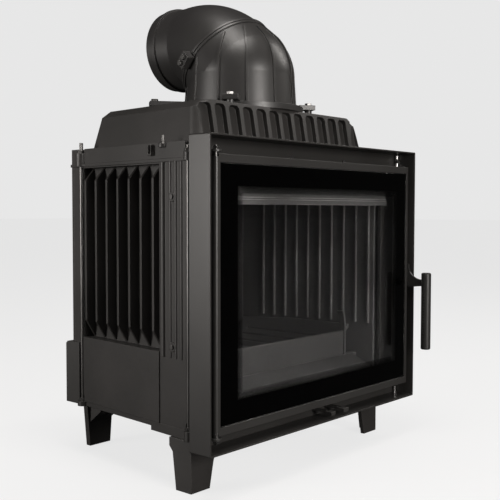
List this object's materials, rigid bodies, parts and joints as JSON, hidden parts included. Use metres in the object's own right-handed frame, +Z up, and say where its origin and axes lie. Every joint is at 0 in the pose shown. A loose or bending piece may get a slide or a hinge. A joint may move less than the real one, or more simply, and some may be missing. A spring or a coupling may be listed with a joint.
{
  "type": "cast iron fireplace insert",
  "caption": "Black cast iron fireplace insert with ribbed sides on legs, a wide glazed side-hung door with a lever handle, air levers below and a turning flue elbow on a ribbed dome.",
  "frame": {"origin": "on the floor under the middle of the outer box", "axes": "+Z up, the door faces -Y, the flue collar faces +Y, +X to the handle's side"},
  "size_m": [0.68, 0.537, 0.9779],
  "materials": {
    "cast": "satin heat-proof paint on a cast skin",
    "flue_cast": "satin heat-proof paint on a fine cast skin",
    "hearth_cast": "bare grey casting, matt",
    "surround_paint": "satin black paint",
    "door_paint": "satin black paint",
    "black_sheet": "satin black paint",
    "handle_paint": "satin grey-black paint",
    "dark_steel": "blackened, slightly worn",
    "bright_steel": "plain, turned",
    "glass": "clear heat-proof glass with a black printed border",
    "rope": "woven heat-proof rope"
  },
  "bodies": {
    "body": {"surround_frame": "surround_paint", "front_plate": "surround_paint", "air_wash_channel": "black_sheet", "right_side_wall": "cast", "left_side_wall": "cast", "back_wall": "cast", "rear_air_duct": "black_sheet", "base_casting": "cast", "top_casting": "cast", "tie_rods": "dark_steel", "tie_rod_nuts": "dark_steel", "rim_studs": "dark_steel", "case_screws": "dark_steel", "right_front_leg": "cast", "left_front_leg": "cast", "right_rear_leg": "cast", "left_rear_leg": "cast", "leg_bolts": "dark_steel", "flue_dome": "flue_cast", "dome_clamps": "flue_cast", "flue_joint_seal": "rope", "joint_clamps": "flue_cast", "flue_clamp_bolts": "dark_steel", "upper_hinge_bracket": "black_sheet", "lower_hinge_bracket": "black_sheet", "hinge_pins": "dark_steel", "hinge_nuts": "bright_steel", "catch_rod": "bright_steel", "catch_rod_brackets": "black_sheet", "catch_rod_nuts": "dark_steel", "latch_keeper": "black_sheet", "right_liner": "hearth_cast", "left_liner": "hearth_cast", "back_liner": "hearth_cast", "lower_baffle": "hearth_cast", "upper_baffle": "hearth_cast", "ash_box": "hearth_cast", "grate": "hearth_cast", "right_hearth_slope": "hearth_cast", "left_hearth_slope": "hearth_cast", "ash_pan": "black_sheet", "log_guard": "hearth_cast", "guard_posts": "hearth_cast", "front_sill": "hearth_cast", "air_control_plate": "black_sheet"},
    "door": {"door_frame": "door_paint", "door_glass": "glass", "glass_gasket": "rope", "glass_clips": "black_sheet", "glass_deflector": "black_sheet", "door_gasket": "rope", "latch_pivot_pin": "dark_steel"},
    "handle": {"handle_lever": "handle_paint", "handle_core": "handle_paint", "handle_grip": "handle_paint"},
    "left_air_control": {"left_air_lever": "black_sheet", "left_damper": "black_sheet"},
    "right_air_control": {"right_air_lever": "black_sheet", "right_damper": "black_sheet"},
    "flue_outlet": {"flue_elbow": "flue_cast"}
  },
  "joints": [
    {"name": "door_hinge", "type": "hinge", "parent": "body", "child": "door", "pos_m": [-0.31, -0.2045, 0.368], "axis": [0, 0, -1], "range_deg": [0, 110]},
    {"name": "handle_pivot", "type": "hinge", "parent": "door", "child": "handle", "pos_m": [0.329, -0.2035, 0.367], "axis": [-1, 0, 0], "range_deg": [-7, 30]},
    {"name": "left_air_slide", "type": "slide", "parent": "body", "child": "left_air_control", "axis": [0, -1, 0], "range_m": [0, 0.02]},
    {"name": "right_air_slide", "type": "slide", "parent": "body", "child": "right_air_control", "axis": [0, -1, 0], "range_m": [0, 0.02]},
    {"name": "flue_swivel", "type": "hinge", "parent": "body", "child": "flue_outlet", "pos_m": [0, 0.05198, 0.84248], "axis": [0, 0.7071, 0.7071], "range_deg": [-180, 180]}
  ]
}
